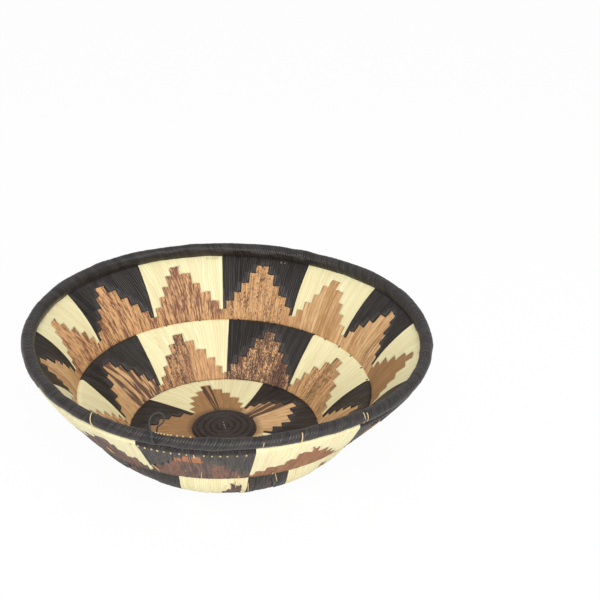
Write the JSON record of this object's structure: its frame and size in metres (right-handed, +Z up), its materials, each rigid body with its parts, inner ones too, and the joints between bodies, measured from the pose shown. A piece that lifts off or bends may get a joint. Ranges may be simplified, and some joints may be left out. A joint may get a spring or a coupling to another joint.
{
  "type": "coiled basket",
  "caption": "Round coiled bowl basket with a wound centre disc, stepped tiers of raffia and bark panels, a wrapped rim and a small hanging loop.",
  "frame": {"origin": "centre of the underside, on the surface that the basket stands on", "axes": "+Z up along the basket's axis, +X to the right and +Y away from the viewer of the picture; the hanging loop stands at the front, a little left"},
  "size_m": [0.3028, 0.3046, 0.1055],
  "materials": {
    "cream_raffia": "natural raffia, satin",
    "black_raffia": "dyed raffia, satin",
    "disc_raffia": "dyed raffia, dull",
    "bark_brown": "dried bark strip, dull",
    "bark_tan": "dried bark strip, dull",
    "bark_dark": "dried bark strip, dull",
    "fibre": "dry stalk fibre",
    "cord": "twisted cord"
  },
  "bodies": {
    "root": {"centre_coil": "disc_raffia", "base_foundation": "fibre", "base_raffia_1": "cream_raffia", "base_bark_1": "bark_brown", "base_raffia_2": "black_raffia", "base_bark_2": "bark_tan", "base_raffia_3": "cream_raffia", "base_bark_3": "bark_dark", "base_raffia_4": "black_raffia", "base_bark_4": "bark_brown", "middle_foundation": "fibre", "middle_raffia_1": "cream_raffia", "middle_bark_1": "bark_brown", "middle_raffia_2": "black_raffia", "middle_bark_2": "bark_tan", "middle_raffia_3": "cream_raffia", "middle_bark_3": "bark_dark", "middle_raffia_4": "black_raffia", "middle_bark_4": "bark_brown", "middle_raffia_5": "cream_raffia", "middle_bark_5": "bark_tan", "middle_raffia_6": "black_raffia", "middle_bark_6": "bark_dark", "middle_raffia_7": "cream_raffia", "middle_bark_7": "bark_brown", "middle_raffia_8": "black_raffia", "middle_bark_8": "bark_tan", "middle_raffia_9": "cream_raffia", "middle_bark_9": "bark_dark", "middle_raffia_10": "black_raffia", "middle_bark_10": "bark_brown", "upper_foundation": "fibre", "upper_raffia_1": "black_raffia", "upper_bark_1": "bark_brown", "upper_raffia_2": "cream_raffia", "upper_bark_2": "bark_tan", "upper_raffia_3": "black_raffia", "upper_bark_3": "bark_dark", "upper_raffia_4": "cream_raffia", "upper_bark_4": "bark_brown", "upper_raffia_5": "black_raffia", "upper_bark_5": "bark_tan", "upper_raffia_6": "cream_raffia", "upper_bark_6": "bark_dark", "upper_raffia_7": "black_raffia", "upper_bark_7": "bark_brown", "upper_raffia_8": "cream_raffia", "upper_bark_8": "bark_tan", "upper_raffia_9": "black_raffia", "upper_bark_9": "bark_dark", "upper_raffia_10": "cream_raffia", "upper_bark_10": "bark_brown", "upper_raffia_11": "black_raffia", "upper_bark_11": "bark_tan", "upper_raffia_12": "cream_raffia", "upper_bark_12": "bark_dark", "rim_foundation": "fibre", "rim_wrap": "black_raffia", "hanging_loop": "cord"}
  },
  "joints": []
}
